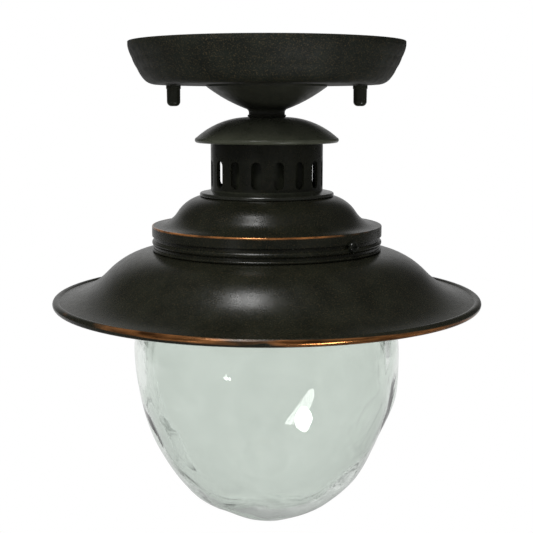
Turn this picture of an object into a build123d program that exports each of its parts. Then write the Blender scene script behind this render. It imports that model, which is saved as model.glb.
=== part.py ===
from build123d import *
import os
from math import acos, cos, radians, sin, sqrt

os.makedirs("parts", exist_ok=True)

# Sizes are in millimetres. The ceiling is the plane z = 0 and the light hangs below it on the Z axis,
# with its front towards -Y. Profiles are drawn as (radius, height) and spun round Z.

# Fits used all over the light
thread_gap = 0.05
slip_gap = 0.3
rest_gap = 0.3
seat_gap = 0.05

# Canopy, a spun pan with three soft tiers
canopy_radius = 88.9
canopy_depth = 27.0
canopy_wall = 1.2
canopy_floor_radius = 79.0
canopy_turn = 3.4
canopy_bow = 0.9
canopy_tiers = 3
tier_bow = 0.3
hem_width = 4.2
hem_thickness = 1.4
canopy_edge_round = 0.4
canopy_gasket_thickness = 1.6

# Mounting strap and its hardware
mount_spacing = 120.6
box_spacing = 88.9
box_slot_radius = 2.5
box_slot_length = 12.0
strap_length = 144.0
strap_width = 20.0
strap_thickness = 2.0
strap_flat_length = 104.0
strap_step_run = 3.0
strap_step = 4.2
strap_hole_radius = 7.0
mount_screw_radius = 2.0
mount_head_radius = 3.6
mount_head_height = 2.4
mount_screw_reach = 8.5
strap_nut_flats = 7.0
strap_nut_height = 3.0
ground_x = 26.0
ground_screw_radius = 2.1
ground_head_flats = 8.0
ground_head_height = 3.2

# Cap nuts
cap_nut_radius = 4.75
cap_nut_tip_radius = 4.3
cap_nut_tip_round = 2.9
cap_nut_length = 13.4
cap_nut_band = 2.2
cap_nut_groove = 0.35
cap_nut_end_room = 1.2

# Cup under the canopy
cup_radius = 39.0
cup_band = 1.2
cup_depth = 16.0
cup_bow = 1.2
cup_fillet = 2.5
cup_wall = 1.5
neck_radius = 11.7
neck_length = 4.6
neck_bead_radius = 0.8

# Stem and its nuts
stem_radius = 5.0
stem_bore_radius = 3.5
stem_stand = 5.5
stem_nut_flats = 15.0
stem_nut_height = 4.5
stem_washer_radius = 11.0
stem_washer_thickness = 1.2

# Vent cap
cap_radius = 46.8
cap_flat_radius = 13.0
cap_drop = 14.7
cap_bow = 3.2
cap_bead_radius = 1.7
cap_bead_angle = 47.5
cap_bead_proud = 0.1
cap_wall = 1.2

# Chimney, the liner behind its vents and the ring at its foot
chimney_radius = 36.5
chimney_wall = 1.4
chimney_exposed = 31.7
vent_count = 16
vent_width = 6.4
vent_height = 17.3
vent_sill = 1.6
vent_start_angle = -100.5
liner_radius = 29.0
liner_wall = 0.8
liner_vent = 7.0
ring_radius = 43.8
ring_height = 4.0
ring_slope = 1.5
ring_bore_radius = 30.0
ring_round = 1.1

# Bell with its grooved collar
bell_crown_radius = 44.4
bell_height = 18.5
bell_lip_radius = 75.2
bell_land = 2.2
bell_start_slope = 15.0
bell_end_slope = 1.0
bell_wall = 2.0
bell_lip_round = 0.6
collar_height = 16.2
collar_band = 7.0
collar_recess = 1.2
collar_band_round = 0.5
collar_roll_drop = 10.9
collar_roll_radius = 1.9
collar_bead_drop = 15.2
collar_bead_radius = 0.9

# Shade with its wired rim
shade_rim_radius = 140.0
shade_drop = 32.6
shade_start_slope = 3.0
shade_end_slope = 6.0
shade_wall = 1.2
rim_bead_radius = 2.7
rim_bead_proud = 1.1

# Globe holder and retaining screws
holder_wall = 3.0
holder_height = 11.5
holder_flange_width = 13.4
holder_flange_thickness = 1.8
spoke_count = 3
spoke_width = 11.0
spoke_thickness = 3.0
hub_radius = 11.0
hub_height = 6.0
retaining_screw_radius = 2.0
retaining_tip_radius = 1.5
retaining_tip_length = 1.5
retaining_head_radius = 3.5
retaining_head_height = 2.4
retaining_recess_width = 1.0
retaining_drop = 8.0
retaining_count = 2
first_screw_angle = -46.5

# Glass globe and its gasket
globe_gasket_thickness = 1.5
globe_gap = 0.6
globe_wall = 3.0
globe_neck_length = 14.0
globe_shoulder_height = 64.0
globe_radius = 88.0
globe_bowl_height = 83.0
globe_bowl_radius = 61.8

# Lampholder
socket_radius = 20.8
socket_height = 42.0
socket_cap_shoulder = 5.0
socket_cap_skirt = 5.0
socket_cap_wall = 1.2
socket_boss_radius = 9.0
socket_boss_height = 6.0
lamp_bore_radius = 13.3
lamp_bore_length = 24.5
shell_wall = 0.6
shell_setback = 1.5
contact_radius = 4.5
contact_height = 2.4

# Leads and terminal block
lead_radius = 1.1
lead_offset = 1.3
lead_bend_radius = 5.0
lead_grip = 3.5
block_length = 18.0
block_width = 20.0
block_height = 11.0
block_clear = 18.0
block_pitch = 10.0
block_lead_depth = 6.0
block_screw_radius = 1.5
block_head_radius = 2.8
block_head_height = 1.8
terminal_screw_radius = 1.8

# Heights and radii that follow from the sizes above
floor_top = canopy_wall - canopy_depth
stem_hole_radius = stem_radius + slip_gap
thread_hole_radius = stem_radius + thread_gap
mount_x = mount_spacing / 2
strap_end_top = -strap_step
strap_end_foot = strap_end_top - strap_thickness
neck_top = -canopy_depth - cup_depth
cap_top = neck_top - neck_length
cap_edge = cap_top - cap_drop
chimney_foot = cap_edge - chimney_exposed
ring_top = chimney_foot - liner_wall
ring_foot = ring_top - ring_height
lip_height = ring_foot - bell_height
collar_foot = lip_height - collar_height
collar_bore_radius = bell_lip_radius - bell_wall
shade_neck_radius = collar_bore_radius - slip_gap
holder_radius = shade_neck_radius - shade_wall - slip_gap
holder_bore_radius = holder_radius - holder_wall
holder_top = lip_height - bell_wall - seat_gap
hub_foot = holder_top - hub_height
globe_neck_radius = holder_bore_radius - globe_gap
gasket_top = holder_top - holder_flange_thickness
globe_top = gasket_top - globe_gasket_thickness - rest_gap
screw_height = lip_height - retaining_drop
socket_top = hub_foot - stem_nut_height
socket_body_top = socket_top - socket_cap_shoulder - socket_cap_wall
socket_foot = socket_body_top - socket_height
shell_foot = socket_foot + shell_setback
shell_top = shell_foot + lamp_bore_length
stem_top = floor_top + stem_washer_thickness + stem_nut_height + stem_stand
stem_foot = socket_top - socket_boss_height + thread_gap
lead_height = -strap_thickness - block_height / 2


def direction(slope):
    """Outward direction that falls at the given slope in degrees."""
    return Vector(cos(radians(slope)), -sin(radians(slope)))


def ogee(start, start_way, end, end_way):
    """Two tangent arcs from start to end that leave and arrive along the given directions."""
    first = Vector(*start)
    last = Vector(*end)
    across = last - first
    ways = start_way + end_way
    spread = 2 * (1 - start_way.dot(end_way))
    reach = across.dot(ways)
    if spread < 1e-9:
        arm = across.dot(across) / (2 * reach)
    else:
        arm = (sqrt(reach**2 + spread * across.dot(across)) - reach) / spread
    middle = (first + last + (start_way - end_way) * arm) * 0.5
    upper = TangentArc(first, middle, tangent=start_way)
    return [upper, TangentArc(middle, last, tangent=upper % 1)]


def spin(profile):
    """Solid of a (radius, height) face turned round the Z axis."""
    return revolve(Plane.XZ * profile, Axis.Z)


def sheet(edges, wall):
    """Profile of a sheet of even wall whose outer side is the given run of edges."""
    return make_face(Wire(edges).offset_2d(wall, side=Side.RIGHT).edges())


def disc(radius, top, height):
    """Upright cylinder on the Z axis, measured down from its top."""
    return Pos(0, 0, top - height / 2) * Cylinder(radius, height)


def tube(radius, bore, top, height):
    """Upright tube on the Z axis, measured down from its top."""
    return disc(radius, top, height) - disc(bore, top, height)


def hex_prism(flats, top, height):
    """Upright hexagonal prism on the Z axis, measured down from its top."""
    outline = RegularPolygon(flats / 2, 6, major_radius=False)
    return extrude(Pos(0, 0, top - height) * outline, height)


def hex_nut(flats, bore, top, height):
    """Hexagonal nut with its corners eased, measured down from its top."""
    eased = chamfer(disc(flats * 0.575, top, height).edges().filter_by(GeomType.CIRCLE), height * 0.1)
    return (hex_prism(flats, top, height) & eased) - disc(bore, top, height)


def radial(radius, inner, outer, angle, height):
    """Cylinder that points away from the Z axis at the given angle and height."""
    middle = (inner + outer) / 2
    return Rot(0, 0, angle) * Pos(middle, 0, height) * Rot(0, 90, 0) * Cylinder(radius, outer - inner)


# Canopy: a straight band at the ceiling, three bowed tiers and a rounded turn into a flat floor. A hem
# folded inward below the edge carries the gasket.
band_foot = -canopy_gasket_thickness - hem_thickness
turn_top = canopy_turn - canopy_depth
wall_line = SagittaArc((canopy_radius, band_foot), (canopy_floor_radius, turn_top), canopy_bow)
tier_ends = [wall_line @ (step / canopy_tiers) for step in range(canopy_tiers + 1)]
tiers = [SagittaArc(high, low, tier_bow) for high, low in zip(tier_ends, tier_ends[1:])]
turn_way = tiers[-1] % 1
turn_angle = acos(-turn_way.X)
turn_radius = canopy_turn / (1 - cos(turn_angle))
turn_end = (canopy_floor_radius - turn_radius * sin(turn_angle), -canopy_depth)
canopy_profile = [
    Line((canopy_radius, 0), (canopy_radius, band_foot)),
    *tiers,
    TangentArc((canopy_floor_radius, turn_top), turn_end, tangent=turn_way),
    Line(turn_end, (stem_hole_radius, -canopy_depth)),
]
hem_bore_radius = canopy_radius - hem_width
canopy_face = sheet(canopy_profile, canopy_wall)
canopy_edge = canopy_face.vertices().sort_by_distance((canopy_radius, 0, 0))[0]
canopy = spin(fillet(canopy_edge, canopy_edge_round))
canopy += tube(canopy_radius - canopy_wall / 2, hem_bore_radius, -canopy_gasket_thickness, hem_thickness)
for x in (-mount_x, mount_x):
    canopy -= Pos(x, 0, -canopy_depth) * Cylinder(mount_screw_radius + slip_gap, 4 * canopy_wall)
export_step(canopy, "parts/canopy.step")

canopy_gasket = tube(canopy_radius - canopy_wall - slip_gap, hem_bore_radius, 0, canopy_gasket_thickness)
export_step(canopy_gasket, "parts/canopy_gasket.step")

# Mounting strap: an offset crossbar. Its middle lies on the ceiling, its ends step down so that the heads
# of the two mounting screws stay below the ceiling.
flat_x = strap_flat_length / 2
step_x = flat_x + strap_step_run
end_x = strap_length / 2
strap_line = Polyline(
    (-end_x, strap_end_top),
    (-step_x, strap_end_top),
    (-flat_x, 0),
    (flat_x, 0),
    (step_x, strap_end_top),
    (end_x, strap_end_top),
)
strap_outline = strap_line.wire().offset_2d(strap_thickness, kind=Kind.INTERSECTION, side=Side.RIGHT)
strap = extrude(Plane.XZ * make_face(strap_outline.edges()), strap_width / 2, both=True)
block_x = -block_clear - block_length / 2
strap_bores = [
    Pos(x, 0, 0) * Cylinder(radius, 4 * strap_step)
    for x, radius in (
        (-mount_x, mount_screw_radius + thread_gap),
        (mount_x, mount_screw_radius + thread_gap),
        (0, strap_hole_radius),
        (block_x, block_screw_radius + thread_gap),
        (ground_x, ground_screw_radius + thread_gap),
    )
]
strap -= strap_bores
for x in (-box_spacing / 2, box_spacing / 2):
    slot = Pos(x, 0, -strap_thickness) * SlotOverall(box_slot_length, 2 * box_slot_radius)
    strap -= extrude(slot, strap_thickness)
export_step(strap, "parts/mounting_strap.step")

# Mounting screws and the jam nuts that lock them in the strap
mount_screw_foot = -canopy_depth - mount_screw_reach
mount_screw = disc(mount_screw_radius, strap_end_top, strap_end_top - mount_screw_foot)
mount_head = disc(mount_head_radius, strap_end_top + mount_head_height, mount_head_height)
mount_screw += fillet(mount_head.edges().group_by(Axis.Z)[-1], mount_head_height / 3)
strap_nut = hex_nut(strap_nut_flats, mount_screw_radius + thread_gap, strap_end_foot, strap_nut_height)
mount_places = [Pos(-mount_x, 0, 0), Pos(mount_x, 0, 0)]
export_step(Compound([place * mount_screw for place in mount_places]), "parts/mounting_screws.step")
export_step(Compound([place * strap_nut for place in mount_places]), "parts/strap_nuts.step")

ground_shank = disc(ground_screw_radius, 0, strap_thickness)
ground_head = hex_prism(ground_head_flats, -strap_thickness, ground_head_height)
ground_slot = Pos(0, 0, -strap_thickness - ground_head_height) * Box(ground_head_flats, 1, 2)
export_step(Pos(ground_x, 0, 0) * (ground_shank + ground_head - ground_slot), "parts/ground_screw.step")

# Cap nuts: a plain band at the canopy, a slight taper and a rounded end, with a blind thread
nut_top = -canopy_depth - rest_gap
nut_foot = nut_top - cap_nut_length
nut_tip = (cap_nut_tip_radius, nut_foot)
nut_points = (
    (0, nut_top),
    (cap_nut_radius, nut_top),
    (cap_nut_radius, nut_top - cap_nut_band),
    (cap_nut_radius - cap_nut_groove, nut_top - cap_nut_band - cap_nut_groove),
    nut_tip,
    (0, nut_foot),
)
nut_face = make_face(Polyline(*nut_points, close=True))
nut_face = fillet(nut_face.vertices().sort_by_distance((*nut_tip, 0))[0], cap_nut_tip_round)
nut_thread_depth = nut_top - mount_screw_foot + cap_nut_end_room
cap_nut = spin(nut_face) - disc(mount_screw_radius + thread_gap, nut_top, nut_thread_depth)
for name, place in zip(("cap_nut_left", "cap_nut_right"), mount_places):
    export_step(place * cap_nut, f"parts/{name}.step")

# Cup: a bowl under the canopy that draws in to a short neck with a bead at its foot
bowl_end = (neck_radius, neck_top)
neck_end = (neck_radius, cap_top)
bowl_start = (cup_radius, -canopy_depth - cup_band)
cup_line = Wire(
    [
        Line((cup_radius, -canopy_depth), bowl_start),
        SagittaArc(bowl_start, bowl_end, cup_bow),
        Line(bowl_end, neck_end),
    ]
)
cup_line = cup_line.fillet_2d(cup_fillet, [cup_line.vertices().sort_by_distance((*bowl_end, 0))[0]])
cup_profile = [*cup_line.edges(), Line(neck_end, (stem_hole_radius, cap_top))]
neck_bead = Pos(neck_radius, cap_top + neck_bead_radius) * Circle(neck_bead_radius)
cup = spin(sheet(cup_profile, cup_wall) + neck_bead)
export_step(cup, "parts/canopy_cup.step")

# Stem: the hollow threaded tube that ties the whole light together, with its washer and nuts
export_step(tube(stem_radius, stem_bore_radius, stem_top, stem_top - stem_foot), "parts/stem.step")
washer_top = floor_top + stem_washer_thickness
stem_washer = tube(stem_washer_radius, stem_hole_radius, washer_top, stem_washer_thickness)
export_step(stem_washer, "parts/stem_washer.step")
stem_nut = hex_nut(stem_nut_flats, thread_hole_radius, washer_top + stem_nut_height, stem_nut_height)
export_step(stem_nut, "parts/stem_nut.step")
holder_nut = hex_nut(stem_nut_flats, thread_hole_radius, hub_foot, stem_nut_height)
export_step(holder_nut, "parts/holder_nut.step")

# Vent cap: a spun dome whose edge is rolled into a bead
bead_centre = (cap_radius - cap_bead_radius, cap_edge)
bead_meet = cap_bead_radius - cap_bead_proud
dome_end = (
    bead_centre[0] + bead_meet * cos(radians(cap_bead_angle)),
    bead_centre[1] + bead_meet * sin(radians(cap_bead_angle)),
)
dome = SagittaArc((cap_flat_radius, cap_top), dome_end, cap_bow)
cap_profile = [Line((stem_hole_radius, cap_top), (cap_flat_radius, cap_top)), dome]
vent_cap = spin(sheet(cap_profile, cap_wall) + Pos(*bead_centre) * Circle(cap_bead_radius))
export_step(vent_cap, "parts/vent_cap.step")

# Chimney: a tube with a row of round ended vents, standing up against the inside of the dome
dome_inner_radius = dome.radius - cap_wall - seat_gap
chimney_top = dome.arc_center.Y + sqrt(dome_inner_radius**2 - (chimney_radius - dome.arc_center.X) ** 2)
chimney = tube(chimney_radius, chimney_radius - chimney_wall, chimney_top, chimney_top - chimney_foot)
vent_middle = chimney_foot + vent_sill + vent_height / 2
vent_outline = Rot(0, 0, 90) * SlotOverall(vent_height, vent_width)
vent = Pos(0, 0, vent_middle) * extrude(Plane.YZ * vent_outline, chimney_radius * 1.2)
chimney -= [Rot(0, 0, vent_start_angle + index * 360 / vent_count) * vent for index in range(vent_count)]
export_step(chimney, "parts/chimney.step")

# Liner: a tube behind the vents that keeps rain and lamp light back. Its flange is clamped under the chimney,
# and it stops short of the dome so that warm air can pass over its top.
liner_top = chimney_top - liner_vent
liner = tube(liner_radius, liner_radius - liner_wall, liner_top, liner_top - ring_top)
liner += tube(chimney_radius, liner_radius - liner_wall, chimney_foot, liner_wall)
export_step(liner, "parts/chimney_liner.step")

# Ring at the foot of the chimney, with a sloping top and rounded edges
ring_points = (
    (ring_bore_radius, ring_foot),
    (ring_radius, ring_foot),
    (ring_radius, ring_top - ring_slope),
    (chimney_radius + slip_gap, ring_top),
    (ring_bore_radius, ring_top),
)
ring_face = make_face(Polyline(*ring_points, close=True))
ring_face = fillet(ring_face.vertices().group_by(Axis.X)[-1], ring_round)
export_step(spin(ring_face), "parts/chimney_ring.step")

# Bell: an open crown under the ring, an ogee out to a crisp lip, and an upright collar. Below a plain band the
# collar steps in to a roll and a bead, and it has a hole for each retaining screw.
screw_angles = [first_screw_angle + index * 360 / retaining_count for index in range(retaining_count)]
crown = (bell_crown_radius, ring_foot)
lip = (bell_lip_radius, lip_height)
flare_end = (bell_lip_radius - bell_land, lip_height)
bell_profile = [
    Line((ring_bore_radius, ring_foot), crown),
    *ogee(crown, direction(bell_start_slope), flare_end, direction(bell_end_slope)),
    Line(flare_end, lip),
    Line(lip, (bell_lip_radius, collar_foot)),
]
recess_height = collar_height - collar_band
recess_middle = (bell_lip_radius, lip_height - collar_band - recess_height / 2)
bell_face = sheet(bell_profile, bell_wall) - Pos(*recess_middle) * Rectangle(2 * collar_recess, recess_height)
for drop, radius in ((collar_roll_drop, collar_roll_radius), (collar_bead_drop, collar_bead_radius)):
    moulding = Pos(bell_lip_radius - radius, lip_height - drop) * Circle(radius)
    inside = Pos(collar_bore_radius - radius, lip_height - drop) * Rectangle(2 * radius, 2 * radius)
    bell_face += moulding - inside
for corner, radius in ((lip, bell_lip_round), ((bell_lip_radius, lip_height - collar_band), collar_band_round)):
    bell_face = fillet(bell_face.vertices().sort_by_distance((*corner, 0))[0], radius)
bell = spin(bell_face)
for angle in screw_angles:
    bell -= radial(retaining_screw_radius + slip_gap, holder_radius, 2 * bell_lip_radius, angle, screw_height)
export_step(bell, "parts/bell.step")

# Shade: a neck inside the collar, an ogee out to the rim, and a wired edge
shade_top = holder_top
shoulder = (shade_neck_radius, collar_foot - seat_gap)
rim_centre = (shade_rim_radius - rim_bead_radius, collar_foot - shade_drop)
rim_meet = rim_bead_radius - rim_bead_proud
sheet_end = (
    rim_centre[0] + rim_meet * sin(radians(shade_end_slope)),
    rim_centre[1] + rim_meet * cos(radians(shade_end_slope)),
)
shade_profile = [
    Line((shade_neck_radius, shade_top), shoulder),
    *ogee(shoulder, direction(shade_start_slope), sheet_end, direction(shade_end_slope)),
]
shade = spin(sheet(shade_profile, shade_wall) + Pos(*rim_centre) * Circle(rim_bead_radius))
for angle in screw_angles:
    shade -= radial(retaining_screw_radius + slip_gap, holder_radius, bell_lip_radius, angle, screw_height)
export_step(shade, "parts/shade.step")

# Globe holder: a ring with an inward flange, tapped for the screws, on three spokes and a hub
holder = tube(holder_radius, holder_bore_radius, holder_top, holder_height)
flange_bore_radius = holder_radius - holder_flange_width
holder += tube(holder_radius, flange_bore_radius, holder_top, holder_flange_thickness)
holder += disc(hub_radius, holder_top, hub_height)
spoke_length = flange_bore_radius + holder_flange_width / 4
spoke = Pos(spoke_length / 2, 0, holder_top - holder_flange_thickness / 2)
spoke *= Box(spoke_length, spoke_width, holder_flange_thickness)
rib = Pos(spoke_length / 2, 0, holder_top - spoke_thickness / 2)
rib *= Box(spoke_length - holder_flange_width / 2, spoke_width / 3, spoke_thickness)
for index in range(spoke_count):
    holder += Rot(0, 0, first_screw_angle + index * 360 / spoke_count) * (spoke + rib)
holder -= disc(stem_hole_radius, holder_top, hub_height)
for angle in screw_angles:
    holder -= radial(
        retaining_screw_radius + thread_gap, globe_neck_radius, bell_lip_radius, angle, screw_height
    )
export_step(holder, "parts/globe_holder.step")

globe_gasket = tube(
    holder_bore_radius - slip_gap, globe_neck_radius - 2 * globe_wall, gasket_top, globe_gasket_thickness
)
export_step(globe_gasket, "parts/globe_gasket.step")

# Retaining screws: pan heads with a crossed recess, a thread in the holder and a tip that bears on the glass
tip_reach = globe_neck_radius + rest_gap
tip_end = tip_reach + retaining_tip_length
head_seat = bell_lip_radius + rest_gap
head_end = head_seat + retaining_head_height
screw_head = radial(retaining_head_radius, head_seat, head_end, 0, screw_height)
screw_head = fillet(screw_head.edges().group_by(Axis.X)[-1], retaining_head_height * 0.45)
recess = Pos(head_end, 0, screw_height) * Box(
    retaining_head_height, retaining_head_radius * 1.2, retaining_recess_width
)
recess += Pos(head_end, 0, screw_height) * Box(
    retaining_head_height, retaining_recess_width, retaining_head_radius * 1.2
)
screw = radial(retaining_tip_radius, tip_reach, tip_end, 0, screw_height)
screw += radial(retaining_screw_radius, tip_end, head_seat, 0, screw_height)
screw += screw_head
screw -= recess
for name, angle in zip(("front", "rear"), screw_angles):
    export_step(Rot(0, 0, angle) * screw, f"parts/retaining_screw_{name}.step")

# Glass globe: a straight neck, a shoulder that swells to the belly, and a bowl with a rounded end
neck_foot = globe_top - globe_neck_length
belly = (globe_radius, neck_foot - globe_shoulder_height)
down = Vector(0, -1)
bowl_point = (globe_bowl_radius, belly[1] - globe_bowl_height)
bowl = TangentArc(belly, bowl_point, tangent=down)
bowl_way = bowl % 1
end_radius = globe_bowl_radius / -bowl_way.Y
globe_foot = bowl_point[1] - end_radius * bowl_way.X - end_radius
globe_profile = [
    Line((globe_neck_radius, globe_top), (globe_neck_radius, neck_foot)),
    *ogee((globe_neck_radius, neck_foot), down, belly, down),
    bowl,
    TangentArc(bowl_point, (0, globe_foot), tangent=bowl_way),
]
export_step(spin(sheet(globe_profile, globe_wall)), "parts/glass_globe.step")

# Lampholder: a metal cap screwed to the stem, a porcelain body, a screw shell and a centre contact
cap_points = (
    (thread_hole_radius, socket_top),
    (socket_boss_radius, socket_top),
    (socket_radius, socket_top - socket_cap_shoulder),
    (socket_radius, socket_top - socket_cap_shoulder - socket_cap_skirt),
)
cap_lines = [Line(high, low) for high, low in zip(cap_points, cap_points[1:])]
socket_cap = spin(sheet(cap_lines, socket_cap_wall))
socket_cap += tube(socket_boss_radius, thread_hole_radius, socket_top, socket_boss_height)
export_step(socket_cap, "parts/socket_cap.step")

body_neck_radius = socket_radius - socket_cap_wall - seat_gap
body_neck_length = socket_cap_skirt - socket_cap_wall + seat_gap
socket_body = disc(socket_radius, socket_body_top - body_neck_length, socket_height - body_neck_length)
socket_body = fillet(socket_body.edges().group_by(Axis.Z)[0], socket_cap_wall)
socket_body += disc(body_neck_radius, socket_body_top, body_neck_length)
shell_radius = lamp_bore_radius + shell_wall
socket_body -= disc(shell_radius + seat_gap, shell_top, shell_top - socket_foot)
contact_top = shell_top + contact_height
socket_body -= disc(contact_radius + seat_gap, contact_top, contact_height)
for y in (-lead_offset, lead_offset):
    socket_body -= Pos(0, y, socket_body_top) * Cylinder(lead_radius + thread_gap, 2 * lead_grip)
export_step(socket_body, "parts/socket_body.step")

socket_shell = tube(shell_radius, lamp_bore_radius, shell_top, lamp_bore_length)
export_step(socket_shell, "parts/socket_shell.step")
socket_contact = disc(contact_radius, contact_top, contact_height)
socket_contact = fillet(socket_contact.edges().group_by(Axis.Z)[0], contact_height / 2)
export_step(socket_contact, "parts/socket_contact.step")

# Terminal block under the strap, held by one screw, with a clamping screw for each lead
block_face = -block_clear
block_top = -strap_thickness
block_foot = block_top - block_height
block = Pos(block_x, 0, block_top - block_height / 2) * Box(block_length, block_width, block_height)
block = fillet(block.edges().filter_by(Axis.Z), block_head_height / 2)
block -= Pos(block_x, 0, 0) * disc(block_screw_radius + slip_gap, block_top, block_height)
block -= Pos(block_x, 0, 0) * disc(
    block_head_radius + slip_gap, block_foot + block_head_height + slip_gap, 2 * block_head_height
)
clamp_x = block_face - block_lead_depth * 0.6
clamp_places = [Pos(clamp_x, y, 0) for y in (-block_pitch / 2, block_pitch / 2)]
for place in clamp_places:
    block -= place * disc(terminal_screw_radius + thread_gap, lead_height, lead_height - block_foot)
for y in (-block_pitch / 2, block_pitch / 2):
    for entry in (block_face, block_face - block_length):
        block -= Pos(entry, y, lead_height) * Rot(0, 90, 0) * Cylinder(lead_radius + slip_gap, 2 * block_lead_depth)
export_step(block, "parts/terminal_block.step")

block_seat = block_foot + block_head_height + slip_gap
block_screw = disc(block_screw_radius, -strap_thickness / 4, -strap_thickness / 4 - block_seat)
block_screw += disc(block_head_radius, block_seat, block_head_height)
block_screw -= Pos(0, 0, block_seat - block_head_height) * Box(2 * block_head_radius, 0.8, block_head_height)
export_step(Pos(block_x, 0, 0) * block_screw, "parts/block_screw.step")

clamp_top = lead_height - lead_radius - seat_gap
clamp = disc(terminal_screw_radius, clamp_top, clamp_top - block_foot)
clamp -= Pos(0, 0, block_foot) * Box(2 * terminal_screw_radius, 0.8, terminal_screw_radius)
export_step(Compound([place * clamp for place in clamp_places]), "parts/terminal_screws.step")

# Leads: from the lampholder up through the stem, over its end and into the terminal block
lead_foot = socket_body_top - lead_grip
for name, side in (("neutral_lead", -1), ("live_lead", 1)):
    stem_y = side * lead_offset
    block_y = side * block_pitch / 2
    route = FilletPolyline(
        (0, stem_y, lead_foot),
        (0, stem_y, lead_height),
        (block_face * 0.6, block_y, lead_height),
        (block_face - block_lead_depth, block_y, lead_height),
        radius=lead_bend_radius,
    )
    section = Plane(route @ 0, z_dir=route % 0) * Circle(lead_radius)
    export_step(sweep(section, path=route), f"parts/{name}.step")
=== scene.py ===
import math

import bmesh
import bpy
from mathutils import Euler, Matrix, Vector, noise


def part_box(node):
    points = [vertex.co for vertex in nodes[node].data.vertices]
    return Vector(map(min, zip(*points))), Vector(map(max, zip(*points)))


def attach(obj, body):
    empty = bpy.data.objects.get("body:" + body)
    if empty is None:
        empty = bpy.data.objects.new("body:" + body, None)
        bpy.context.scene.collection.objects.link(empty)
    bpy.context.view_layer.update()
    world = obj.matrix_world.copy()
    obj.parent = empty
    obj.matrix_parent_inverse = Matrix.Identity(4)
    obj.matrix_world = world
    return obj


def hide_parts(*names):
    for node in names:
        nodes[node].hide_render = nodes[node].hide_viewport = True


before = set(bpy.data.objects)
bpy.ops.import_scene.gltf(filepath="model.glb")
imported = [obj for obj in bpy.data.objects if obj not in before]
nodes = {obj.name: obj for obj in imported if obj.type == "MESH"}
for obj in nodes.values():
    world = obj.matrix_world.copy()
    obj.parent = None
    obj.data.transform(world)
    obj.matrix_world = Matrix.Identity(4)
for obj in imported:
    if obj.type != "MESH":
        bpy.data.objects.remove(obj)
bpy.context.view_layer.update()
scene = bpy.context.scene
scene.view_settings.view_transform = "Standard"

# Mounting strap, its screws, jam nuts and the earth screw: pressed and turned steel with a bright zinc
# plate, the earth screw in green, hidden between the ceiling and the canopy. The stem that ties the light
# together, its washer and its nuts have the same plate.


def shader_step(tree, kind, inputs=None, **settings):
    """One step of a material, with its settings. Its inputs are values or other steps' outputs."""
    step = tree.nodes.new("ShaderNode" + kind)
    for key, value in settings.items():
        setattr(step, key, value)
    for key, value in (inputs or {}).items():
        if isinstance(value, bpy.types.NodeSocket):
            tree.links.new(value, step.inputs[key])
        else:
            step.inputs[key].default_value = value
    return step


def new_finish(name, **sockets):
    """A material with a plain shader whose sockets are set directly, and its Object coordinates."""
    finish = bpy.data.materials.new(name)
    finish.use_nodes = True
    tree = finish.node_tree
    shader = tree.nodes["Principled BSDF"]
    for key, value in sockets.items():
        shader.inputs[key.replace("_", " ")].default_value = value
    place = shader_step(tree, "TexCoord").outputs["Object"]
    return finish, tree, shader, place


def mottle(tree, place, scale, low, high, detail=4.0):
    """A colour that wanders between two colours over the surface."""
    turning_points = (0.35, 0.65)
    cloud = shader_step(tree, "TexNoise", {"Vector": place, "Scale": scale, "Detail": detail})
    ramp = shader_step(tree, "ValToRGB", {"Fac": cloud.outputs["Fac"]})
    for stop, position, colour in zip(ramp.color_ramp.elements, turning_points, (low, high)):
        stop.position = position
        stop.color = (*colour, 1)
    return ramp.outputs["Color"]


def grain_bump(tree, shader, place, scale, strength, depth):
    """A fine unevenness of the surface."""
    cloud = shader_step(tree, "TexNoise", {"Vector": place, "Scale": scale, "Detail": 3.0})
    bump = shader_step(
        tree, "Bump", {"Height": cloud.outputs["Fac"], "Strength": strength, "Distance": depth}
    )
    tree.links.new(bump.outputs["Normal"], shader.inputs["Normal"])


def mottled_finish(name, low, high, scale, rough, grain=None, **sockets):
    """A finish whose colour wanders between low and high. rough is one value, or a scale and two values
    that the roughness wanders between. grain is the scale, strength and depth of a fine unevenness."""
    finish, tree, shader, place = new_finish(name, **sockets)
    tree.links.new(mottle(tree, place, scale, low, high), shader.inputs["Base Color"])
    if isinstance(rough, tuple):
        rough_scale, least, most = rough
        gloss = mottle(tree, place, rough_scale, (least,) * 3, (most,) * 3)
        tree.links.new(gloss, shader.inputs["Roughness"])
    else:
        shader.inputs["Roughness"].default_value = rough
    if grain:
        grain_bump(tree, shader, place, *grain)
    return finish


def cover(finish, *names):
    """Gives CAD nodes this finish."""
    for name in names:
        nodes[name].data.materials.clear()
        nodes[name].data.materials.append(finish)


zinc = mottled_finish(
    "zinc plate",
    low=(0.47, 0.47, 0.45),
    high=(0.66, 0.66, 0.63),
    scale=180.0,
    rough=(320.0, 0.26, 0.42),
    grain=(900.0, 0.12, 0.0003),
    Metallic=1.0,
)
cover(zinc, "mounting_strap", "mounting_screws", "strap_nuts", "block_screw")
cover(zinc, "stem", "stem_washer", "stem_nut", "holder_nut")
green = mottled_finish(
    "green passivated steel",
    low=(0.02, 0.22, 0.06),
    high=(0.05, 0.36, 0.11),
    scale=400.0,
    rough=0.35,
    Metallic=0.6,
)
cover(green, "ground_screw")

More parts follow.
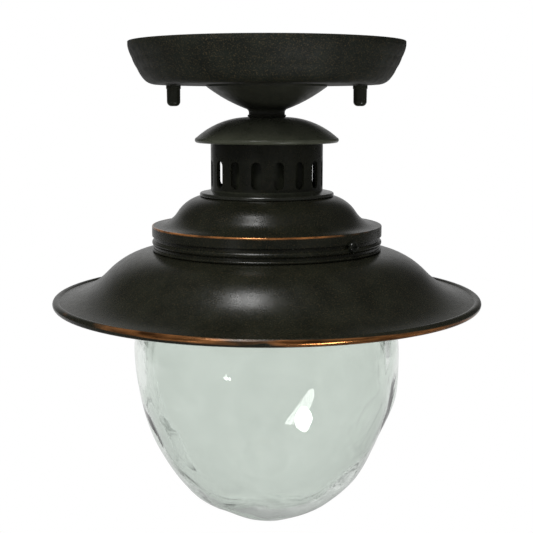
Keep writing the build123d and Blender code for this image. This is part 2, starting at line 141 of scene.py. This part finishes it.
# Terminal block and leads: a moulded nylon block screwed under the strap, with brass clamping screws, and
# two plastic covered wires that come up to it through the stem. The lampholder's shell and contact are
# pressed from the same brass.
nylon = mottled_finish(
    "white nylon",
    low=(0.70, 0.70, 0.66),
    high=(0.78, 0.78, 0.75),
    scale=90.0,
    rough=0.5,
    grain=(700.0, 0.08, 0.0003),
)
cover(nylon, "terminal_block")
brass = mottled_finish(
    "pressed brass",
    low=(0.60, 0.40, 0.14),
    high=(0.76, 0.56, 0.25),
    scale=150.0,
    rough=(260.0, 0.22, 0.38),
    Metallic=1.0,
)
cover(brass, "terminal_screws", "socket_shell", "socket_contact")
for name, low, high in (
    ("live_lead", (0.012, 0.012, 0.012), (0.03, 0.03, 0.03)),
    ("neutral_lead", (0.68, 0.68, 0.65), (0.8, 0.8, 0.77)),
):
    cover(mottled_finish(name + " insulation", low, high, scale=120.0, rough=0.45), name)

# Canopy: a spun steel pan in oil-rubbed bronze. The dark coat is speckled with fine coppery grains, and a
# foam gasket sits on its hem, against the ceiling.


def reckon(tree, operation, *values):
    """One sum in a material, from values or other steps' outputs."""
    return shader_step(tree, "Math", dict(enumerate(values)), operation=operation).outputs[0]


def measure(tree, operation, *places):
    """One number in a material that is measured on places or directions."""
    return shader_step(tree, "VectorMath", dict(enumerate(places)), operation=operation).outputs["Value"]


def joined(tree, x, y, z=0.0):
    """A place in a material, from its three parts."""
    return shader_step(tree, "CombineXYZ", {"X": x, "Y": y, "Z": z}).outputs["Vector"]


def fade(tree, value, start, end, low=0.0, high=1.0, shape="LINEAR"):
    """Turns what lies between start and end into what lies between low and high."""
    ends = {"Value": value, "From Min": start, "From Max": end, "To Min": low, "To Max": high}
    return shader_step(tree, "MapRange", ends, interpolation_type=shape).outputs["Result"]


def blend(tree, share, under, over):
    """One colour laid over another by a share."""
    colours = {"Factor": share, "A": under, "B": over}
    return shader_step(tree, "Mix", colours, data_type="RGBA").outputs["Result"]


def rubbed_ring(tree, place, radius, height, half_width, rise, wear_and_glint):
    """How far the coat is rubbed through in a ring round the axis, and the place in its long streaks. The
    ring rises from right to left, and the last argument lists how bare it is from the left, -1, to the
    right,
    1. On the shade's roll that list is partly wear and partly painted highlight, barest where the low lamp
    catches the copper."""
    streak_squeeze = 0.012
    streak_slope = 0.7
    core_share = 0.45
    patch_swing = 0.7
    bare_from = 0.55
    parts = shader_step(tree, "SeparateXYZ", {"Vector": place}).outputs
    reach = measure(tree, "LENGTH", joined(tree, parts["X"], parts["Y"]))
    side = reckon(tree, "DIVIDE", parts["X"], reach)
    depth = reckon(tree, "DIVIDE", parts["Y"], reach)
    girth = reckon(tree, "MULTIPLY_ADD", reach, streak_slope, parts["Z"])
    round_place = joined(tree, side, depth, girth)
    squeeze = (streak_squeeze, streak_squeeze, 1)
    streak = shader_step(tree, "VectorMath", {0: round_place, 1: squeeze}, operation="MULTIPLY")
    streak = streak.outputs["Vector"]
    outward = reckon(tree, "SUBTRACT", reach, radius)
    level = reckon(tree, "MULTIPLY_ADD", side, -rise, height)
    upward = reckon(tree, "SUBTRACT", parts["Z"], level)
    apart = measure(tree, "LENGTH", joined(tree, outward, upward))
    near = fade(tree, apart, half_width, half_width * core_share, shape="SMOOTHSTEP")
    wear_and_glint_bias = shader_step(tree, "ValToRGB", {"Fac": fade(tree, side, -1.0, 1.0)})
    stops = wear_and_glint_bias.color_ramp.elements
    for stop, (_, amount) in zip(stops, (wear_and_glint[0], wear_and_glint[-1])):
        stop.color = (amount, amount, amount, 1)
    for spot, amount in wear_and_glint[1:-1]:
        stops.new(spot / 2 + 0.5).color = (amount, amount, amount, 1)
    cloud = {"Vector": streak, "Scale": 250.0, "Detail": 5.0, "Roughness": 0.6}
    patch = shader_step(tree, "TexNoise", cloud).outputs["Fac"]
    patch = reckon(tree, "MULTIPLY_ADD", patch, patch_swing, wear_and_glint_bias.outputs["Color"])
    patch = fade(tree, patch, bare_from, 1.0)
    return reckon(tree, "MULTIPLY", near, patch), streak


def bronze_coat(name, dark, warm, speckle, rough=(0.26, 0.35), shine=0.25, rub=None, metal=0.9):
    """Oil-rubbed bronze: a dark satin coat with a share of fine coppery grains. Where rub gives a ring, it
    is rubbed through there to bare copper, which shines as metal does by the share metal."""
    grain_scale = 1300.0
    grain_colour = (0.090, 0.063, 0.030, 1)
    grain_from = 0.52
    grain_full = 0.72
    finish, tree, shader, place = new_finish(name)
    shader.inputs["Specular IOR Level"].default_value = shine
    colour = mottle(tree, place, scale=70.0, low=dark, high=warm, detail=7.0)
    grains = shader_step(tree, "TexNoise", {"Vector": place, "Scale": grain_scale, "Detail": 2.0})
    grains = fade(tree, grains.outputs["Fac"], grain_from, grain_full, high=speckle)
    colour = blend(tree, grains, colour, grain_colour)
    least, most = rough
    gloss = mottle(tree, place, scale=240.0, low=(least,) * 3, high=(most,) * 3)
    if rub:
        # The bare copper mask; on the shade's roll it is partly painted highlight.
        bare_and_glint, streak = rubbed_ring(tree, place, *rub)
        copper = mottle(tree, streak, scale=700.0, low=(0.13, 0.053, 0.018), high=(0.45, 0.185, 0.06))
        copper_gloss = (0.17, 0.17, 0.17, 1)
        colour = blend(tree, bare_and_glint, colour, copper)
        gloss = blend(tree, bare_and_glint, gloss, copper_gloss)
        tree.links.new(reckon(tree, "MULTIPLY", bare_and_glint, metal), shader.inputs["Metallic"])
    tree.links.new(colour, shader.inputs["Base Color"])
    tree.links.new(gloss, shader.inputs["Roughness"])
    grain_bump(tree, shader, place, grain_scale, strength=0.10, depth=0.0004)
    return finish


speckled_bronze = bronze_coat(
    "speckled bronze",
    dark=(0.0060, 0.0078, 0.0056),
    warm=(0.0096, 0.0122, 0.0087),
    speckle=0.44,
    rough=(0.52, 0.62),
    shine=0.15,
)
cover(speckled_bronze, "canopy")
foam = mottled_finish(
    "closed cell foam",
    low=(0.012, 0.012, 0.012),
    high=(0.04, 0.04, 0.04),
    scale=900.0,
    rough=0.9,
    grain=(1500.0, 0.4, 0.0006),
)
cover(foam, "canopy_gasket")

# Cap nuts: turned steel nuts in the same dark bronze, one at each side under the canopy. They thread onto
# the strap's two screws and draw the canopy up to the ceiling.
# Their base colour is lighter than the other bronze's: painted light, for the shade the canopy casts on
# them.
nut_bronze_painted_light = bronze_coat(
    "nut bronze painted light", dark=(0.0130, 0.0146, 0.0102), warm=(0.0184, 0.0200, 0.0140), speckle=0.1
)
cover(nut_bronze_painted_light, "cap_nut_left", "cap_nut_right")

# Cup, vent cap, chimney with its liner, and ring: spun and pressed steel in the same smooth dark bronze,
# threaded on the stem one above the other and clamped by its nuts. Their base colours differ as painted
# light and shade: the cup and vent cap are lightened for the canopy's shadow on them, the liner for the
# shade inside the chimney, and the ring as painted sheen, while the chimney is darkened as painted shade.
# Lightened as painted light, for the canopy's shadow on the cup.
cup_bronze_painted_light = bronze_coat(
    "cup bronze painted light",
    dark=(0.0136, 0.0150, 0.0107),
    warm=(0.0189, 0.0202, 0.0145),
    speckle=0.15,
    rough=(0.4, 0.5),
)
cover(cup_bronze_painted_light, "canopy_cup")
# Much lighter than the other bronze: painted light, for the canopy's shadow on the vent cap.
cap_bronze_painted_light = bronze_coat(
    "cap bronze painted light", dark=(0.0410, 0.0449, 0.0319), warm=(0.0559, 0.0598, 0.0429), speckle=0.15
)
cover(cap_bronze_painted_light, "vent_cap")
# Darker than the other bronze: painted shade under the vent cap's rim.
chimney_bronze_painted_shade = bronze_coat(
    "chimney bronze painted shade", dark=(0.0047, 0.0054, 0.0036), warm=(0.0074, 0.0081, 0.0052), speckle=0.1
)
cover(chimney_bronze_painted_shade, "chimney")
# Lighter than the other bronze: painted light, for the shade inside the chimney seen through its slots.
liner_bronze_painted_light = bronze_coat(
    "liner bronze painted light", dark=(0.0140, 0.0160, 0.0108), warm=(0.0220, 0.0242, 0.0156), speckle=0.1
)
cover(liner_bronze_painted_light, "chimney_liner")
# Lighter than the other bronze: painted sheen along the ring's edges.
ring_bronze_painted_light = bronze_coat(
    "ring bronze painted light",
    dark=(0.0098, 0.0108, 0.0078),
    warm=(0.0137, 0.0150, 0.0107),
    speckle=0.1,
    rough=(0.18, 0.26),
    shine=0.8,
)
cover(ring_bronze_painted_light, "chimney_ring")

# Bell: sheet steel spun to an ogee, with a crisp lip and a grooved collar, clamped under the ring. The
# dark coat is rubbed back to copper along the lip, least at the right.
lip_drop = 0.0185
lip_half_width = 0.0013
lip_rise = 0.0
lip_bareness = [(-1, 0.4), (-0.85, 1.0), (0.2, 1.0), (0.45, 0.6), (0.65, 0.25), (1, 0.1)]
bell_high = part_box("bell")[1]
bell_bronze = bronze_coat(
    "bell bronze",
    dark=(0.0062, 0.0070, 0.0046),
    warm=(0.0100, 0.0109, 0.0071),
    speckle=0.2,
    rough=(0.24, 0.29),
    rub=(bell_high.x, bell_high.z - lip_drop, lip_half_width, lip_rise, lip_bareness),
    metal=0.5,
)
cover(bell_bronze, "bell")

# Shade: sheet steel spun to a wide ogee, its neck held in the bell's collar and its edge rolled over a
# wire. The roll is rubbed through to copper in long streaks, higher on it at the left than at the right.
# How bare it is round the ring is partly wear and partly painted highlight: barest at the front right,
# where the low lamp catches the copper.
roll_radius = 0.0027
rub_outward = 0.0024
rub_upward = 0.0003
rub_half_width = 0.0022
rub_rise = 0.0024
# Partly wear, partly painted highlight: barest at the front right, where the low lamp catches the roll.
roll_wear_and_glint = [(-1, 0.0), (-0.75, 0.2), (-0.5, 0.6), (-0.25, 0.55), (-0.1, 0.28)]
roll_wear_and_glint += [(0.0, 0.22), (0.13, 1.0), (0.5, 0.95), (0.62, 0.45), (1, 0.35)]
shade_low, shade_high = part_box("shade")
rub_radius = shade_high.x - roll_radius + rub_outward
rub_height = shade_low.z + roll_radius + rub_upward
shade_bronze = bronze_coat(
    "shade bronze",
    dark=(0.0062, 0.0070, 0.0046),
    warm=(0.0100, 0.0109, 0.0071),
    speckle=0.2,
    rough=(0.24, 0.29),
    rub=(rub_radius, rub_height, rub_half_width, rub_rise, roll_wear_and_glint),
)
cover(shade_bronze, "shade")

# Globe holder: a cast aluminium ring on three spokes, held on the stem by its nut, with a silicone gasket
# for the top of the glass. The lampholder's cap is the same aluminium.
cast = mottled_finish(
    "cast aluminium",
    low=(0.46, 0.46, 0.46),
    high=(0.62, 0.62, 0.62),
    scale=220.0,
    rough=(500.0, 0.40, 0.58),
    grain=(800.0, 0.25, 0.0004),
    Metallic=1.0,
)
cover(cast, "globe_holder", "socket_cap")
silicone = mottled_finish(
    "silicone", low=(0.62, 0.62, 0.60), high=(0.72, 0.72, 0.70), scale=120.0, rough=0.6
)
cover(silicone, "globe_gasket")

# Retaining screws: steel pan heads in glossy black, one each side of the collar. They thread into the
# holder, and their tips grip the neck of the glass.
black_screw = mottled_finish(
    "black screws", low=(0.006, 0.0065, 0.005), high=(0.013, 0.014, 0.011), scale=300.0, rough=0.1
)
cover(black_screw, "retaining_screw_front", "retaining_screw_rear")

# Lampholder body: white glazed porcelain, which holds the brass shell and contact. It hangs in its cap,
# at the end of the stem.
porcelain = mottled_finish(
    "porcelain", low=(0.72, 0.71, 0.66), high=(0.80, 0.79, 0.75), scale=60.0, rough=0.18
)
cover(porcelain, "socket_body")

# Glass globe: clear glass blown into a hammered mould, so its outside is wavy and its wall uneven. It has
# a straight neck that the screws grip, and a rounded end.
wall = 0.003
neck_radius = 0.0678
neck_length = 0.014
shoulder_height = 0.064
bowl_height = 0.083
bowl_radius = 0.0618
round_steps = 220
merge_gap = 1e-6
globe_low, globe_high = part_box("glass_globe")


def arc_points(start, way, end, count):
    """Points on the arc that leaves start in the given direction and ends at end."""
    chord = end - start
    turn = way.angle_signed(chord)
    points = []
    for step in range(1, count + 1):
        angle = turn * (step / count)
        length = chord.length * math.sin(angle) / math.sin(turn)
        across = way.x * math.cos(angle) + way.y * math.sin(angle)
        upward = way.y * math.cos(angle) - way.x * math.sin(angle)
        points.append(start + Vector((across, upward)) * length)
    return points


# The profile runs round the lip, down the outside and back up the inside
down = Vector((0.0, -1.0))
neck_top = Vector((neck_radius, globe_high.z))
neck_foot = neck_top + down * neck_length
belly = Vector((globe_high.x, neck_foot.y - shoulder_height))
middle = (neck_foot + belly) / 2
shoulder_turn = abs(down.angle_signed((middle - neck_foot).normalized())) * 2
middle_way = Vector((math.sin(shoulder_turn), -math.cos(shoulder_turn)))
bowl_end = Vector((bowl_radius, belly.y - bowl_height))
bowl_turn = abs(down.angle_signed((bowl_end - belly).normalized())) * 2
end_way = Vector((-math.sin(bowl_turn), -math.cos(bowl_turn)))
foot = Vector((0.0, globe_low.z))
outside = [neck_top + down * neck_length * step / 10 for step in range(1, 11)]
outside += arc_points(neck_foot, down, middle, count=24)
outside += arc_points(middle, middle_way, belly, count=24)
outside += arc_points(belly, down, bowl_end, count=48)
outside += arc_points(bowl_end, end_way, foot, count=44)
outside[-1] = foot
inside = []
for before, here, after in zip([neck_top] + outside, outside, outside[1:]):
    along = (after - before).normalized()
    inside.append(here + Vector((along.y, -along.x)) * wall)
inside.append(foot + Vector((0, wall)))
lip_radius = wall / 2
lip = []
for degrees in range(180, -1, -30):
    across = lip_radius * math.cos(math.radians(degrees)) - lip_radius
    upward = lip_radius * math.sin(math.radians(degrees)) - lip_radius
    lip.append(neck_top + Vector((across, upward)))
profile = lip + outside + list(reversed(inside))

# The profile is spun round the axis into one closed shell
globe_mesh = bmesh.new()
row = [globe_mesh.verts.new((point.x, 0, point.y)) for point in profile]
edges = [globe_mesh.edges.new(pair) for pair in zip(row, row[1:] + row[:1])]
axis_edges = [edge for edge in edges if all(abs(v.co.x) < merge_gap for v in edge.verts)]
for edge in axis_edges:
    edges.remove(edge)
    globe_mesh.edges.remove(edge)
bmesh.ops.spin(
    globe_mesh,
    geom=row + edges,
    cent=(0, 0, 0),
    axis=(0, 0, 1),
    angle=math.tau,
    steps=round_steps,
    use_merge=True,
)
bmesh.ops.remove_doubles(globe_mesh, verts=globe_mesh.verts, dist=merge_gap)
bmesh.ops.recalc_face_normals(globe_mesh, faces=globe_mesh.faces)
globe_mesh.normal_update()

# Each point moves along its normal: deep dents outside, faint ripples inside, and none on the neck
dent_depth = 0.0022
ripple_depth = 0.0002
dents_across = 34
dents_upward = 26
start_x = 3.7
start_y = 1.3
facet_pitch = 1.1
facet_share = 0.5
mean_wave = 0.1
plain_length = 0.004
fade_length = 0.03
moves = []
for v in globe_mesh.verts:
    depth = min(max((neck_foot.y - plain_length - v.co.z) / fade_length, 0.0), 1.0)
    across_x = v.co.x * dents_across + start_x
    across_y = v.co.y * dents_across + start_y
    spot = Vector((across_x, across_y, v.co.z * dents_upward))
    facet = noise.voronoi(spot * facet_pitch)[0][0] ** 2
    wave = noise.noise(spot) + facet_share * facet - mean_wave
    faces_axis = v.normal.xy.dot(v.co.xy) < 0
    faces_up_in_bowl = v.normal.z > 0 and v.co.z < bowl_end.y
    height = -ripple_depth if faces_axis or faces_up_in_bowl else dent_depth
    moves.append((v, v.normal * wave * depth * height))
for v, move in moves:
    v.co += move
for face in globe_mesh.faces:
    face.smooth = True
globe_data = bpy.data.meshes.new("hammered_globe")
globe_mesh.to_mesh(globe_data)
globe_mesh.free()
globe = bpy.data.objects.new("hammered_globe", globe_data)
scene.collection.objects.link(globe)
clear = mottled_finish(
    "hammered glass",
    low=(0.776, 0.819, 0.782),
    high=(0.806, 0.849, 0.812),
    scale=55.0,
    rough=0.0,
    IOR=1.48,
    Transmission_Weight=1.0,
)
globe_data.materials.append(clear)
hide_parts("glass_globe")
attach(globe, "glass")

# The studio: a white sweep of paper behind and below the light, which shows as plain white, and a dimmer
# room on the near side, which only reflections and bent light in the glass meet.


def seen_white(tree, place, mirrored, bent):
    """Whether a ray looks at the backdrop, and does not only carry light, and how strong it finds it: 1
    for the camera, and less at the near side for reflections and for light bent by the glass. Each of
    these has the way to the backdrop, two depths that way, between which it comes up, and its strength at
    both."""
    path = shader_step(tree, "LightPath").outputs
    seen = path["Is Camera Ray"]
    for kind in ("Is Glossy Ray", "Is Transmission Ray"):
        seen = reckon(tree, "MAXIMUM", seen, path[kind])
    rooms = []
    for back, near, far, least, most in (mirrored, bent):
        depth = measure(tree, "DOT_PRODUCT", place, back)
        rooms.append(fade(tree, depth, near, far, least, most, "SMOOTHSTEP"))
    through = reckon(tree, "GREATER_THAN", path["Transmission Depth"], 0.5)
    room = shader_step(tree, "Mix", {"Factor": through, "A": rooms[0], "B": rooms[1]})
    return seen, reckon(tree, "MAXIMUM", path["Is Camera Ray"], room.outputs["Result"])


white = (1, 1, 1, 1)
mirror_way = (-0.12, 0.99, 0)
bent_way = (0, 1, 0)
fill_way = (-0.4, -0.9, 0.15)
world = bpy.data.worlds.new("studio")
scene.world = world
world.use_nodes = True
tree = world.node_tree
tree.nodes.clear()
place = shader_step(tree, "TexCoord").outputs["Generated"]
seen, strength = seen_white(
    tree, place, mirrored=(mirror_way, 0.75, 0.99, 0.06, 0.6), bent=(bent_way, 0.55, 0.985, 0.4, 1.0)
)
soft = fade(tree, measure(tree, "DOT_PRODUCT", place, fill_way), -0.6, 0.8, low=0.25, high=0.8)
fill = shader_step(tree, "Background", {"Color": white, "Strength": soft})
backdrop = shader_step(tree, "Background", {"Color": white, "Strength": strength})
mix = shader_step(tree, "MixShader", {0: seen, 1: fill.outputs[0], 2: backdrop.outputs[0]})
shader_step(tree, "OutputWorld", {"Surface": mix.outputs[0]})

# The floor: the foot of the paper sweep. Where the light's shadow falls the camera sees the lit paper
# itself, lifted a little so that it meets the white round it.
floor_reach = 4.0
floor_height = -0.85
shadow_centre = (0.15, 0.35, floor_height)
shadow_outer = 0.75
shadow_inner = 0.4
shadow_lift = 0.2
floor_mesh = bmesh.new()
bmesh.ops.create_grid(floor_mesh, x_segments=1, y_segments=1, size=floor_reach)
bmesh.ops.translate(floor_mesh, verts=floor_mesh.verts, vec=(0, 0, floor_height))
floor_data = bpy.data.meshes.new("floor")
floor_mesh.to_mesh(floor_data)
floor_mesh.free()
floor = bpy.data.objects.new("floor", floor_data)
scene.collection.objects.link(floor)
paper, tree, shader, place = new_finish("white paper", Base_Color=(0.86, 0.86, 0.86, 1), Roughness=0.9)
seen, strength = seen_white(
    tree, place, mirrored=(mirror_way, 0.3, 2.0, 0.15, 0.8), bent=(bent_way, -0.1, 1.15, 0.36, 1.0)
)
looked_at = shader_step(tree, "LightPath").outputs["Is Camera Ray"]
reach = measure(tree, "DISTANCE", place, shadow_centre)
shadow = fade(tree, reach, shadow_outer, shadow_inner, shape="SMOOTHSTEP")
seen = reckon(tree, "SUBTRACT", seen, reckon(tree, "MULTIPLY", shadow, looked_at))
shader.inputs["Emission Color"].default_value = white
tree.links.new(reckon(tree, "MULTIPLY", looked_at, shadow_lift), shader.inputs["Emission Strength"])
glow = shader_step(tree, "Emission", {"Color": white, "Strength": strength})
mix = shader_step(tree, "MixShader", {0: seen, 1: shader.outputs[0], 2: glow.outputs[0]})
tree.links.new(mix.outputs[0], tree.nodes["Material Output"].inputs["Surface"])
floor_data.materials.append(paper)

# Lamps: a long soft box overhead, a wide one above the camera, a small one at its left, and a tall one low
# at its right. All of them point at the middle of the light.
lamp_aim = Vector((0, 0, -0.13))
for name, spot, width, height, lean, watts in (
    ("top_box", (-0.26, -0.42, 1.4), 0.36, 0.5, 0, 10.5),
    ("sky_box", (-0.35, -1.0, 1.05), 0.5, 0.5, 0, 13.0),
    ("left_box", (-0.68, -1.05, -0.42), 0.06, 0.06, 0, 0.3),
    ("low_box", (0.457, -0.788, -0.765), 0.2, 0.45, -35, 5.5),
):
    lamp = bpy.data.lights.new(name, "AREA")
    lamp.shape = "ELLIPSE"
    lamp.size = width
    lamp.size_y = height
    lamp.energy = watts
    stand = bpy.data.objects.new(name, lamp)
    stand.location = spot
    aim = (lamp_aim - Vector(spot)).to_track_quat("-Z", "Y").to_matrix()
    stand.rotation_euler = (aim @ Matrix.Rotation(math.radians(lean), 3, "Z")).to_euler()
    scene.collection.objects.link(stand)

# Camera: it stands in front, a little below the ceiling, and looks slightly down. Light may cross the
# walls of the glass many times on its way to the lens.
camera_place = (-0.0002, -0.689, -0.0399)
camera_dip = 8.73
glass_crossings = 32
camera_data = bpy.data.cameras.new("camera")
camera_data.sensor_width = 36.0
camera_data.lens = 71.05
camera = bpy.data.objects.new("camera", camera_data)
camera.location = camera_place
camera.rotation_euler = Euler((math.radians(90 - camera_dip), 0, 0))
scene.collection.objects.link(camera)
scene.camera = camera
scene.cycles.max_bounces = glass_crossings
scene.cycles.transmission_bounces = glass_crossings
scene.cycles.glossy_bounces = glass_crossings
